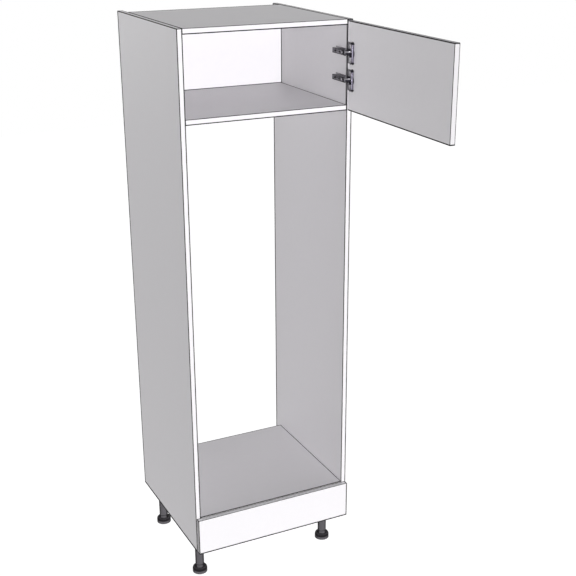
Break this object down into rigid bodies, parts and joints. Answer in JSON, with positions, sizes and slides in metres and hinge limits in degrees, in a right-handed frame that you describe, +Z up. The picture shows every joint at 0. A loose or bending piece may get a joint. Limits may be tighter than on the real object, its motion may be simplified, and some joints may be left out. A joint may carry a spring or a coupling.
{
  "type": "oven housing unit",
  "caption": "Tall kitchen cabinet with an open built-in oven space, a small hinged-door cupboard above it, a fixed front below it and adjustable legs.",
  "frame": {"origin": "on the floor, on the centre line, in the plane of the closed door's front face", "axes": "+X to the right, +Y to the back, +Z up; the door stands open by 90 degrees at rest"},
  "size_m": [0.6, 1.161, 1.97],
  "materials": {
    "melamine_board": "white melamine-faced chipboard, satin",
    "abs_edging": "white ABS edging, satin",
    "front_board": "white faced board with softened edges, satin",
    "softwood": "planed softwood",
    "hinge_steel": "nickel-plated pressed steel",
    "leg_plastic": "black moulded plastic"
  },
  "bodies": {
    "carcass": {"left_side_panel": "melamine_board", "right_side_panel": "melamine_board", "top_panel": "melamine_board", "fixed_shelf": "melamine_board", "oven_shelf": "melamine_board", "bottom_panel": "melamine_board", "cupboard_back": "melamine_board", "left_side_edging": "abs_edging", "right_side_edging": "abs_edging", "top_panel_edging": "abs_edging", "fixed_shelf_edging": "abs_edging", "oven_shelf_edging": "abs_edging", "lower_front_panel": "front_board", "left_corner_block": "softwood", "right_corner_block": "softwood", "upper_hinge_outer_pin": "hinge_steel", "upper_hinge_inner_pin": "hinge_steel", "upper_hinge_arm": "hinge_steel", "upper_hinge_depth_screw": "hinge_steel", "upper_hinge_side_screw": "hinge_steel", "upper_hinge_mounting_plate": "hinge_steel", "upper_hinge_plate_screw_front": "hinge_steel", "upper_hinge_plate_screw_rear": "hinge_steel", "lower_hinge_outer_pin": "hinge_steel", "lower_hinge_inner_pin": "hinge_steel", "lower_hinge_arm": "hinge_steel", "lower_hinge_depth_screw": "hinge_steel", "lower_hinge_side_screw": "hinge_steel", "lower_hinge_mounting_plate": "hinge_steel", "lower_hinge_plate_screw_front": "hinge_steel", "lower_hinge_plate_screw_rear": "hinge_steel", "front_left_leg_socket": "leg_plastic", "front_left_leg_tube": "leg_plastic", "front_right_leg_socket": "leg_plastic", "front_right_leg_tube": "leg_plastic", "rear_left_leg_socket": "leg_plastic", "rear_left_leg_tube": "leg_plastic", "rear_right_leg_socket": "leg_plastic", "rear_right_leg_tube": "leg_plastic"},
    "door": {"door_panel": "front_board", "upper_hinge_cup": "hinge_steel", "upper_hinge_cup_cover": "hinge_steel", "upper_hinge_cup_screw_top": "hinge_steel", "upper_hinge_cup_screw_bottom": "hinge_steel", "lower_hinge_cup": "hinge_steel", "lower_hinge_cup_cover": "hinge_steel", "lower_hinge_cup_screw_top": "hinge_steel", "lower_hinge_cup_screw_bottom": "hinge_steel"},
    "upper_outer_link": {"upper_hinge_outer_link": "hinge_steel"},
    "upper_inner_link": {"upper_hinge_inner_link": "hinge_steel"},
    "lower_outer_link": {"lower_hinge_outer_link": "hinge_steel"},
    "lower_inner_link": {"lower_hinge_inner_link": "hinge_steel"},
    "front_left_foot": {"front_left_leg_foot": "leg_plastic"},
    "front_right_foot": {"front_right_leg_foot": "leg_plastic"},
    "rear_left_foot": {"rear_left_leg_foot": "leg_plastic"},
    "rear_right_foot": {"rear_right_leg_foot": "leg_plastic"}
  },
  "joints": [
    {"name": "door_swing", "type": "hinge", "parent": "carcass", "child": "door", "pos_m": [0.2915, 0.0085, 1.823], "axis": [0, 0, 1], "range_deg": [-90, 20]},
    {"name": "upper_outer_link_turn", "type": "hinge", "parent": "carcass", "child": "upper_outer_link", "pos_m": [0.268, 0.0124, 1.866], "axis": [0, 0, 1], "range_deg": [-7.9, 35.1]},
    {"name": "upper_inner_link_turn", "type": "hinge", "parent": "carcass", "child": "upper_inner_link", "pos_m": [0.2756, 0.0156, 1.866], "axis": [0, 0, 1], "range_deg": [-13.3, 59.6]},
    {"name": "lower_outer_link_turn", "type": "hinge", "parent": "carcass", "child": "lower_outer_link", "pos_m": [0.268, 0.0124, 1.78], "axis": [0, 0, 1], "range_deg": [-7.9, 35.1]},
    {"name": "lower_inner_link_turn", "type": "hinge", "parent": "carcass", "child": "lower_inner_link", "pos_m": [0.2756, 0.0156, 1.78], "axis": [0, 0, 1], "range_deg": [-13.3, 59.6]},
    {"name": "front_left_foot_height", "type": "slide", "parent": "carcass", "child": "front_left_foot", "axis": [0, 0, -1], "range_m": [-0.01, 0.02]},
    {"name": "front_right_foot_height", "type": "slide", "parent": "carcass", "child": "front_right_foot", "axis": [0, 0, -1], "range_m": [-0.01, 0.02]},
    {"name": "rear_left_foot_height", "type": "slide", "parent": "carcass", "child": "rear_left_foot", "axis": [0, 0, -1], "range_m": [-0.01, 0.02]},
    {"name": "rear_right_foot_height", "type": "slide", "parent": "carcass", "child": "rear_right_foot", "axis": [0, 0, -1], "range_m": [-0.01, 0.02]}
  ],
  "couplings": [
    {"joint": "upper_outer_link_turn", "follows": "door_swing", "ratio": -0.38905},
    {"joint": "upper_inner_link_turn", "follows": "door_swing", "ratio": -0.661},
    {"joint": "lower_outer_link_turn", "follows": "door_swing", "ratio": -0.38905},
    {"joint": "lower_inner_link_turn", "follows": "door_swing", "ratio": -0.661}
  ]
}
